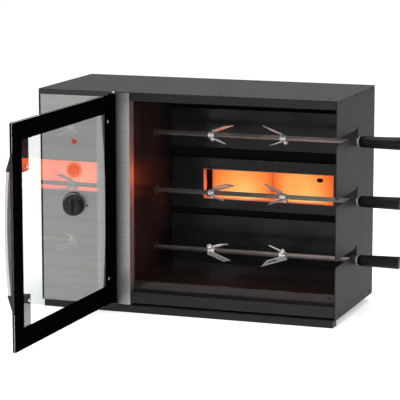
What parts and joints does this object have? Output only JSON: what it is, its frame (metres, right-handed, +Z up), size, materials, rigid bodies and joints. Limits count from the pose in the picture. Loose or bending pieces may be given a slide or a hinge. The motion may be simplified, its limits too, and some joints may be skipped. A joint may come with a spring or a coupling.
{
  "type": "rotisserie oven",
  "caption": "Countertop gas rotisserie oven: dark steel cabinet, side-hung glass door, geared spits with forks and handles, rear infrared burner, drip tray.",
  "frame": {"origin": "middle of the front plinth's bottom flange, on the surface the oven stands on", "axes": "+X to the user's right, along the spits towards their handles; +Y to the back of the cabinet; +Z up"},
  "size_m": [0.7445, 0.8009, 0.4672],
  "materials": {
    "dark_paint": "matt dark grey powder coat",
    "black_enamel": "gloss black vitreous enamel",
    "brushed_steel": "brushed stainless steel",
    "galvanised": "plain zinc-coated sheet",
    "burner_steel": "heat-stained steel sheet",
    "chrome": "bright plated steel",
    "black_plastic": "satin black moulded plastic",
    "handle_plastic": "black heat-proof moulded plastic",
    "rubber": "matt black rubber",
    "brass": "machined brass and copper",
    "ceramic": "glowing perforated ceramic",
    "porcelain": "glazed porcelain",
    "door_glass": "clear tempered glass with a black printed border",
    "red_lens": "translucent red plastic",
    "nylon": "natural moulded plastic"
  },
  "bodies": {
    "cabinet": {"base_plate": "galvanised", "front_plinth": "dark_paint", "rear_foot_left": "rubber", "rear_foot_right": "rubber", "left_side_panel": "dark_paint", "right_side_panel": "dark_paint", "rear_panel": "dark_paint", "top_cover": "dark_paint", "control_panel": "brushed_steel", "hinge_post": "brushed_steel", "sill_rail": "dark_paint", "divider_wall": "black_enamel", "cavity_ceiling": "dark_paint", "cavity_floor": "black_enamel", "rear_liner": "black_enamel", "burner_shroud": "burner_steel", "burner_body": "burner_steel", "ceramic_tile_left": "ceramic", "ceramic_tile_right": "ceramic", "ignition_electrode": "porcelain", "gas_valve": "brass", "burner_pipe": "brass", "inlet_pipe": "brass", "cable_gland": "black_plastic", "igniter_body": "black_plastic", "pilot_lamp": "red_lens", "drive_motor": "galvanised"},
    "door": {"door_glass": "door_glass", "door_hinge_strip": "dark_paint", "door_handle_bar": "brushed_steel", "handle_cap_upper": "black_plastic", "handle_cap_lower": "black_plastic"},
    "valve_stem": {"valve_stem": "chrome"},
    "control_knob": {"control_knob": "black_plastic"},
    "ignition_button": {"ignition_button": "black_plastic"},
    "drip_tray": {"drip_tray": "black_enamel"},
    "motor_pinion": {"motor_pinion": "nylon"},
    "idler_lower": {"idler_gear_lower": "nylon"},
    "idler_upper": {"idler_gear_upper": "nylon"},
    "drive_bottom": {"drive_gear_bottom": "nylon"},
    "spit_bottom": {"spit_bar_bottom": "chrome", "spit_handle_bottom": "handle_plastic"},
    "fork_bottom_left": {"fork_bottom_left": "chrome"},
    "thumbscrew_bottom_left": {"thumbscrew_bottom_left": "chrome"},
    "fork_bottom_right": {"fork_bottom_right": "chrome"},
    "thumbscrew_bottom_right": {"thumbscrew_bottom_right": "chrome"},
    "drive_middle": {"drive_gear_middle": "nylon"},
    "spit_middle": {"spit_bar_middle": "chrome", "spit_handle_middle": "handle_plastic"},
    "fork_middle_left": {"fork_middle_left": "chrome"},
    "thumbscrew_middle_left": {"thumbscrew_middle_left": "chrome"},
    "fork_middle_right": {"fork_middle_right": "chrome"},
    "thumbscrew_middle_right": {"thumbscrew_middle_right": "chrome"},
    "drive_top": {"drive_gear_top": "nylon"},
    "spit_top": {"spit_bar_top": "chrome", "spit_handle_top": "handle_plastic"},
    "fork_top_left": {"fork_top_left": "chrome"},
    "thumbscrew_top_left": {"thumbscrew_top_left": "chrome"},
    "fork_top_right": {"fork_top_right": "chrome"},
    "thumbscrew_top_right": {"thumbscrew_top_right": "chrome"}
  },
  "joints": [
    {"name": "door_hinge", "type": "hinge", "parent": "cabinet", "child": "door", "pos_m": [-0.154, -0.0215, 0.2412], "axis": [0, 0, -1], "range_deg": [-91, 30]},
    {"name": "stem_push", "type": "slide", "parent": "cabinet", "child": "valve_stem", "axis": [0, 1, 0], "range_m": [0, 0.003], "stiffness_N_per_m": 800, "springref_m": -0.002},
    {"name": "knob_turn", "type": "hinge", "parent": "valve_stem", "child": "control_knob", "pos_m": [-0.2485, -0.0305, 0.2225], "axis": [0, -1, 0], "range_deg": [-90, 90]},
    {"name": "button_press", "type": "slide", "parent": "cabinet", "child": "ignition_button", "axis": [0, 1, 0], "range_m": [0, 0.004], "stiffness_N_per_m": 800, "springref_m": -0.002},
    {"name": "tray_slide", "type": "slide", "parent": "cabinet", "child": "drip_tray", "axis": [0, -1, 0], "range_m": [0, 0.2]},
    {"name": "drive_middle_spin", "type": "hinge", "parent": "cabinet", "child": "drive_middle", "pos_m": [-0.136, 0.14, 0.238], "axis": [1, 0, 0], "continuous": true},
    {"name": "drive_bottom_spin", "type": "hinge", "parent": "cabinet", "child": "drive_bottom", "pos_m": [-0.136, 0.14, 0.113], "axis": [1, 0, 0], "continuous": true},
    {"name": "drive_top_spin", "type": "hinge", "parent": "cabinet", "child": "drive_top", "pos_m": [-0.136, 0.14, 0.363], "axis": [1, 0, 0], "continuous": true},
    {"name": "idler_lower_spin", "type": "hinge", "parent": "cabinet", "child": "idler_lower", "pos_m": [-0.136, 0.14, 0.1755], "axis": [1, 0, 0], "continuous": true},
    {"name": "idler_upper_spin", "type": "hinge", "parent": "cabinet", "child": "idler_upper", "pos_m": [-0.136, 0.14, 0.3005], "axis": [1, 0, 0], "continuous": true},
    {"name": "pinion_spin", "type": "hinge", "parent": "cabinet", "child": "motor_pinion", "pos_m": [-0.136, 0.18625, 0.1755], "axis": [1, 0, 0], "continuous": true},
    {"name": "spit_bottom_pull", "type": "slide", "parent": "drive_bottom", "child": "spit_bottom", "axis": [1, 0, 0], "range_m": [0, 0.03]},
    {"name": "fork_bottom_left_slide", "type": "slide", "parent": "spit_bottom", "child": "fork_bottom_left", "axis": [1, 0, 0], "range_m": [-0.1, 0.025]},
    {"name": "thumbscrew_bottom_left_turn", "type": "hinge", "parent": "fork_bottom_left", "child": "thumbscrew_bottom_left", "pos_m": [0.004, 0.14, 0.113], "axis": [0, -0.7071, 0.7071], "range_deg": [0, 270]},
    {"name": "fork_bottom_right_slide", "type": "slide", "parent": "spit_bottom", "child": "fork_bottom_right", "axis": [1, 0, 0], "range_m": [-0.025, 0.1]},
    {"name": "thumbscrew_bottom_right_turn", "type": "hinge", "parent": "fork_bottom_right", "child": "thumbscrew_bottom_right", "pos_m": [0.167, 0.14, 0.113], "axis": [0, -0.7071, 0.7071], "range_deg": [0, 270]},
    {"name": "spit_middle_pull", "type": "slide", "parent": "drive_middle", "child": "spit_middle", "axis": [1, 0, 0], "range_m": [0, 0.03]},
    {"name": "fork_middle_left_slide", "type": "slide", "parent": "spit_middle", "child": "fork_middle_left", "axis": [1, 0, 0], "range_m": [-0.1, 0.025]},
    {"name": "thumbscrew_middle_left_turn", "type": "hinge", "parent": "fork_middle_left", "child": "thumbscrew_middle_left", "pos_m": [0.004, 0.14, 0.238], "axis": [0, 0.7071, -0.7071], "range_deg": [0, 270]},
    {"name": "fork_middle_right_slide", "type": "slide", "parent": "spit_middle", "child": "fork_middle_right", "axis": [1, 0, 0], "range_m": [-0.025, 0.1]},
    {"name": "thumbscrew_middle_right_turn", "type": "hinge", "parent": "fork_middle_right", "child": "thumbscrew_middle_right", "pos_m": [0.167, 0.14, 0.238], "axis": [0, 0.7071, -0.7071], "range_deg": [0, 270]},
    {"name": "spit_top_pull", "type": "slide", "parent": "drive_top", "child": "spit_top", "axis": [1, 0, 0], "range_m": [0, 0.03]},
    {"name": "fork_top_left_slide", "type": "slide", "parent": "spit_top", "child": "fork_top_left", "axis": [1, 0, 0], "range_m": [-0.1, 0.025]},
    {"name": "thumbscrew_top_left_turn", "type": "hinge", "parent": "fork_top_left", "child": "thumbscrew_top_left", "pos_m": [0.004, 0.14, 0.363], "axis": [0, 0.7071, -0.7071], "range_deg": [0, 270]},
    {"name": "fork_top_right_slide", "type": "slide", "parent": "spit_top", "child": "fork_top_right", "axis": [1, 0, 0], "range_m": [-0.025, 0.1]},
    {"name": "thumbscrew_top_right_turn", "type": "hinge", "parent": "fork_top_right", "child": "thumbscrew_top_right", "pos_m": [0.167, 0.14, 0.363], "axis": [0, 0.7071, -0.7071], "range_deg": [0, 270]}
  ],
  "couplings": [
    {"joint": "drive_bottom_spin", "follows": "drive_middle_spin", "ratio": 1},
    {"joint": "drive_top_spin", "follows": "drive_middle_spin", "ratio": 1},
    {"joint": "idler_lower_spin", "follows": "drive_middle_spin", "ratio": -1},
    {"joint": "idler_upper_spin", "follows": "drive_middle_spin", "ratio": -1},
    {"joint": "pinion_spin", "follows": "drive_middle_spin", "ratio": 2.0833}
  ]
}
